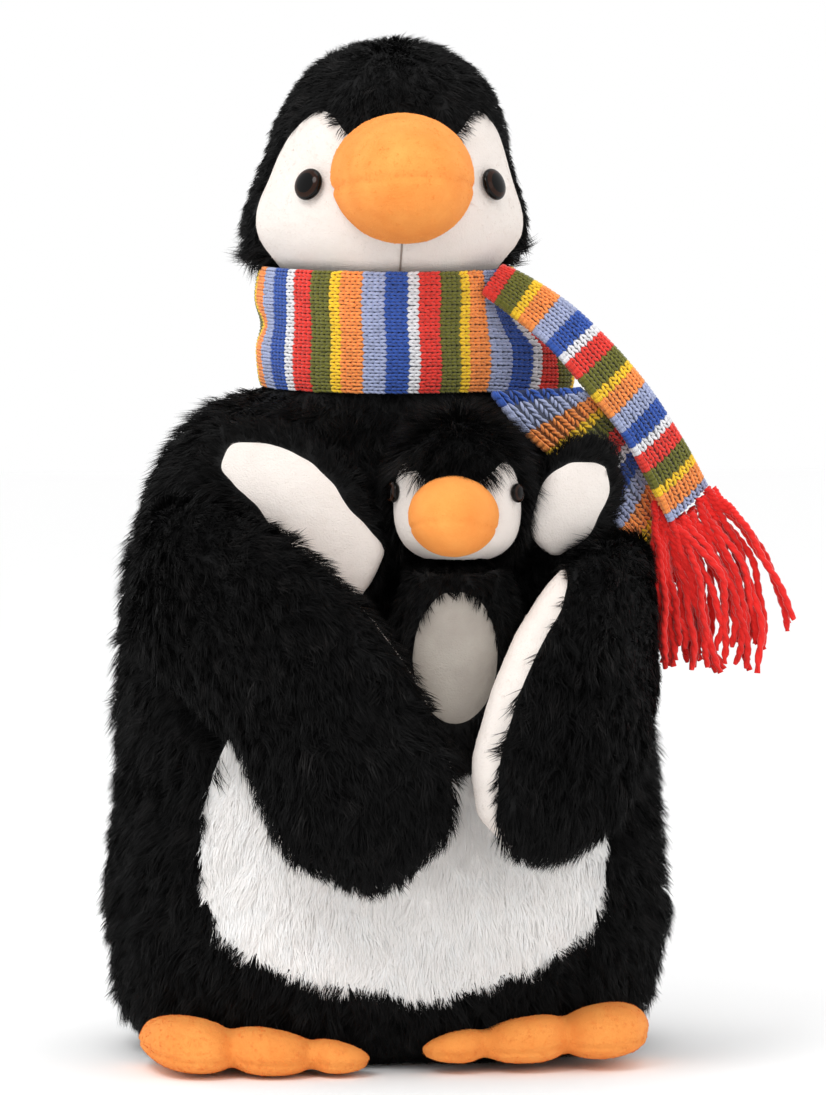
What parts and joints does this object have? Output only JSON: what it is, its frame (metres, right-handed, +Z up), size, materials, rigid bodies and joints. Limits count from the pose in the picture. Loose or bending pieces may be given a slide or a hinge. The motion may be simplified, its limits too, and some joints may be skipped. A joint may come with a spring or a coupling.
{
  "type": "plush penguin with chick and scarf",
  "caption": "Soft plush penguin that sits on a flat base, holds a small chick against its belly with both flippers and wears a striped knitted scarf.",
  "frame": {"origin": "centre of the flat base cloth, on the surface that the toy sits on", "axes": "+Z up through the head, -Y towards the front of the toy (beak and belly), +X towards the toy's own left"},
  "size_m": [0.2675, 0.2242, 0.4034],
  "materials": {
    "black_long_pile": "long silky pile, combed downwards",
    "white_long_pile": "long silky pile",
    "base_cloth": "plain woven cloth",
    "white_short_pile": "short velvety pile",
    "grey_patch": "fine short pile with a faint ribbed grain",
    "orange_short_pile": "short velvety pile",
    "scarf_knit": "fine stocking-stitch knit in coloured stripes",
    "red_yarn": "loosely twisted yarn",
    "eye_plastic": "polished",
    "washer_plastic": "moulded",
    "fibre_filling": "loose fibre"
  },
  "bodies": {
    "torso": {"back_panel_right": "black_long_pile", "back_panel_left": "black_long_pile", "front_panel_right": "black_long_pile", "front_panel_left": "black_long_pile", "belly_panel": "white_long_pile", "base_panel": "base_cloth", "body_stuffing": "fibre_filling", "scarf_wrap": "scarf_knit", "foot_right_top": "orange_short_pile", "foot_right_sole": "orange_short_pile", "foot_right_stuffing": "fibre_filling", "foot_left_top": "orange_short_pile", "foot_left_sole": "orange_short_pile", "foot_left_stuffing": "fibre_filling"},
    "head": {"crown_right": "black_long_pile", "crown_left": "black_long_pile", "face_right": "white_short_pile", "face_left": "white_short_pile", "beak_upper": "orange_short_pile", "beak_lower": "orange_short_pile", "beak_stuffing": "fibre_filling", "head_stuffing": "fibre_filling", "eye_right": "eye_plastic", "eye_left": "eye_plastic", "eye_washer_right": "washer_plastic", "eye_washer_left": "washer_plastic"},
    "flipper_right": {"flipper_right_outer": "black_long_pile", "flipper_right_lining": "white_short_pile", "flipper_right_stuffing": "fibre_filling"},
    "flipper_left": {"flipper_left_outer": "black_long_pile", "flipper_left_lining": "white_short_pile", "flipper_left_stuffing": "fibre_filling"},
    "scarf_front": {"scarf_tail_front": "scarf_knit", "scarf_fringe_front": "red_yarn"},
    "scarf_back": {"scarf_tail_back": "scarf_knit", "scarf_fringe_back": "red_yarn"},
    "chick": {"chick_back_panel": "black_long_pile", "chick_front_panel": "black_long_pile", "chick_belly_patch": "grey_patch", "chick_stuffing": "fibre_filling"},
    "chick_head": {"chick_crown": "black_long_pile", "chick_face": "white_short_pile", "chick_beak_upper": "orange_short_pile", "chick_beak_lower": "orange_short_pile", "chick_beak_stuffing": "fibre_filling", "chick_head_stuffing": "fibre_filling", "chick_eye_right": "eye_plastic", "chick_eye_left": "eye_plastic", "chick_eye_washer_right": "washer_plastic", "chick_eye_washer_left": "washer_plastic"},
    "chick_flipper_right": {"chick_flipper_right_outer": "black_long_pile", "chick_flipper_right_lining": "white_short_pile"},
    "chick_flipper_left": {"chick_flipper_left_outer": "black_long_pile", "chick_flipper_left_lining": "white_short_pile"}
  },
  "joints": [
    {"name": "head_turn", "type": "hinge", "parent": "torso", "child": "head", "pos_m": [0, -0.004, 0.308], "axis": [0, 0, 1], "range_deg": [-30, 30]},
    {"name": "flipper_right_open", "type": "hinge", "parent": "torso", "child": "flipper_right", "pos_m": [-0.1005, -0.044, 0.19], "axis": [-0.1694, -0.099, -0.9806], "range_deg": [0, 60]},
    {"name": "flipper_left_open", "type": "hinge", "parent": "torso", "child": "flipper_left", "pos_m": [0.101, -0.044, 0.173], "axis": [-0.1025, 0.0607, 0.9929], "range_deg": [0, 60]},
    {"name": "scarf_front_swing", "type": "hinge", "parent": "torso", "child": "scarf_front", "pos_m": [0.05, -0.042, 0.307], "axis": [-0.6948, -0.4328, -0.5743], "range_deg": [0, 42]},
    {"name": "scarf_back_swing", "type": "hinge", "parent": "torso", "child": "scarf_back", "pos_m": [0.05, -0.061, 0.263], "axis": [0.6, -0.8, 0], "range_deg": [0, 12]},
    {"name": "chick_lift", "type": "slide", "parent": "torso", "child": "chick", "axis": [0, -0.42, 0.9075], "range_m": [0, 0.066]},
    {"name": "chick_head_turn", "type": "hinge", "parent": "chick", "child": "chick_head", "pos_m": [0.017, -0.094, 0.1998], "axis": [0, 0, 1], "range_deg": [-20, 20]},
    {"name": "chick_flipper_right_raise", "type": "hinge", "parent": "chick", "child": "chick_flipper_right", "pos_m": [-0.0145, -0.09, 0.206], "axis": [0, 1, 0], "range_deg": [0, 15]},
    {"name": "chick_flipper_left_raise", "type": "hinge", "parent": "chick", "child": "chick_flipper_left", "pos_m": [0.0495, -0.09, 0.205], "axis": [0, -1, 0], "range_deg": [0, 8]}
  ]
}
